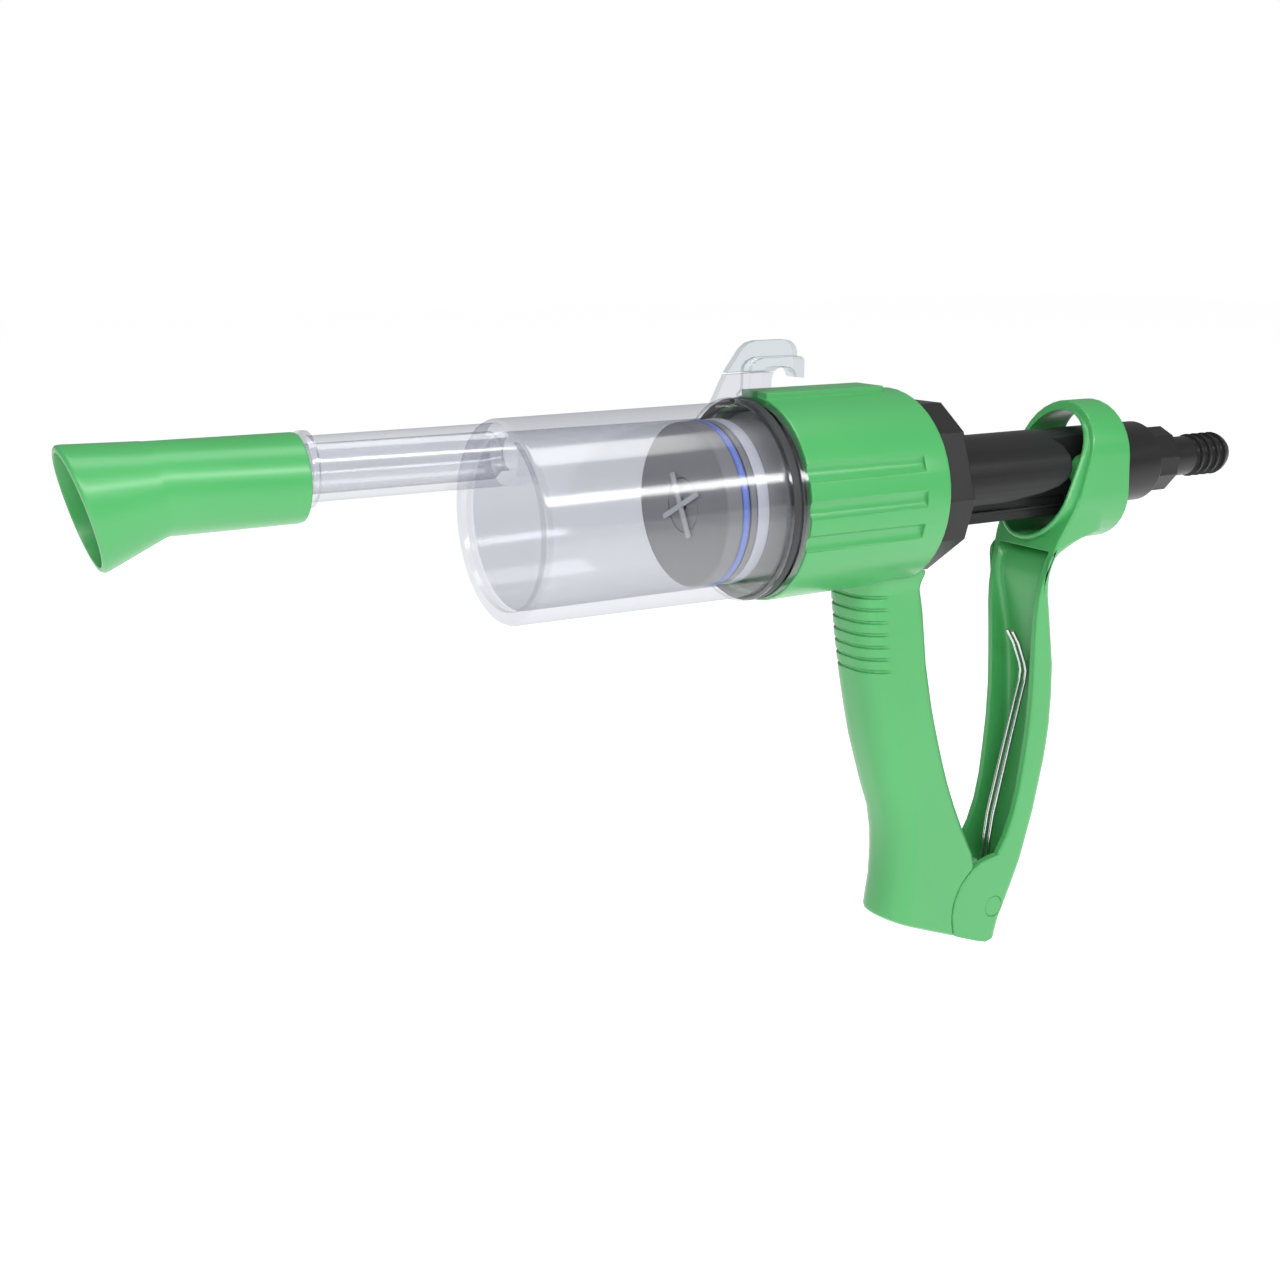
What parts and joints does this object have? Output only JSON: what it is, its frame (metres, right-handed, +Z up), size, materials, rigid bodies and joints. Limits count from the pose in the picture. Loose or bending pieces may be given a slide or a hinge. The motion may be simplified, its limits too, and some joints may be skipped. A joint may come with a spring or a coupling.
{
  "type": "pour-on applicator gun",
  "caption": "Squeeze-lever livestock dosing gun: clear barrel, piston on a hollow rod, flared nozzle, hanging hook, dose nut and a barbed hose tail at the rear.",
  "frame": {"origin": "the middle of the flat seat under the hanging hook, where a rail or cord would bear", "axes": "+X runs back along the barrel to the hose tail, +Z is up, and the nozzle points to -X"},
  "size_m": [0.3719, 0.0568, 0.1911],
  "materials": {
    "green_plastic": "glossy moulded green",
    "black_plastic": "satin moulded black",
    "clear_plastic": "clear polished",
    "grey_plastic": "satin dark grey",
    "white_plastic": "satin white",
    "blue_rubber": "smooth blue",
    "black_rubber": "smooth black",
    "spring_steel": "bright drawn wire"
  },
  "bodies": {
    "gun_body": {"barrel": "clear_plastic", "barrel_seal": "black_rubber", "hanging_hook": "clear_plastic", "delivery_seat": "white_plastic", "delivery_cage": "white_plastic", "delivery_spring": "spring_steel", "nozzle_o_ring": "black_rubber", "handle_body": "green_plastic", "hinge_pin": "green_plastic", "return_spring": "spring_steel"},
    "nozzle": {"nozzle": "green_plastic"},
    "delivery_valve": {"delivery_poppet": "white_plastic"},
    "dose_nut": {"dose_nut": "black_plastic"},
    "stop_sleeve": {"dose_sleeve": "grey_plastic"},
    "lever": {"trigger_lever": "green_plastic"},
    "rod": {"piston_rod": "black_plastic", "piston": "grey_plastic", "piston_o_ring": "blue_rubber", "piston_wiper": "white_plastic", "inlet_plate": "grey_plastic", "nose_cross": "white_plastic", "inlet_spring": "spring_steel", "rod_end_collar": "black_plastic", "tail_washer": "black_rubber", "hose_nut": "black_plastic", "hose_tail": "black_plastic"},
    "inlet_valve": {"inlet_poppet": "white_plastic"}
  },
  "joints": [
    {"name": "lever_hinge", "type": "hinge", "parent": "gun_body", "child": "lever", "pos_m": [0.0804, 0, -0.1721], "axis": [0, -1, 0], "range_deg": [0, 16.7], "stiffness_Nm_per_rad": 3, "springref_deg": -20.05, "deforming": ["return_spring"]},
    {"name": "piston_slide", "type": "slide", "parent": "gun_body", "child": "rod", "axis": [-1, 0, 0], "range_m": [0, 0.04]},
    {"name": "dose_nut_turn", "type": "hinge", "parent": "gun_body", "child": "dose_nut", "pos_m": [0.0399, 0, -0.0356], "axis": [1, 0, 0], "range_deg": [0, 720]},
    {"name": "stop_sleeve_slide", "type": "slide", "parent": "gun_body", "child": "stop_sleeve", "axis": [1, 0, 0], "range_m": [0, 0.0095]},
    {"name": "nozzle_turn", "type": "hinge", "parent": "gun_body", "child": "nozzle", "pos_m": [-0.1484, 0, -0.0181], "axis": [1, 0, 0], "range_deg": [-90, 90]},
    {"name": "delivery_valve_lift", "type": "slide", "parent": "gun_body", "child": "delivery_valve", "axis": [-1, 0, 0], "range_m": [0, 0.002], "stiffness_N_per_m": 60, "springref_m": -0.002, "deforming": ["delivery_spring"]},
    {"name": "inlet_valve_lift", "type": "slide", "parent": "rod", "child": "inlet_valve", "axis": [-1, 0, 0], "range_m": [0, 0.0018], "stiffness_N_per_m": 60, "springref_m": -0.002, "deforming": ["inlet_spring"]}
  ],
  "couplings": [
    {"joint": "piston_slide", "follows": "lever_hinge", "m_per_rad": 0.1372},
    {"joint": "stop_sleeve_slide", "follows": "dose_nut_turn", "m_per_rad": 0.00075}
  ]
}
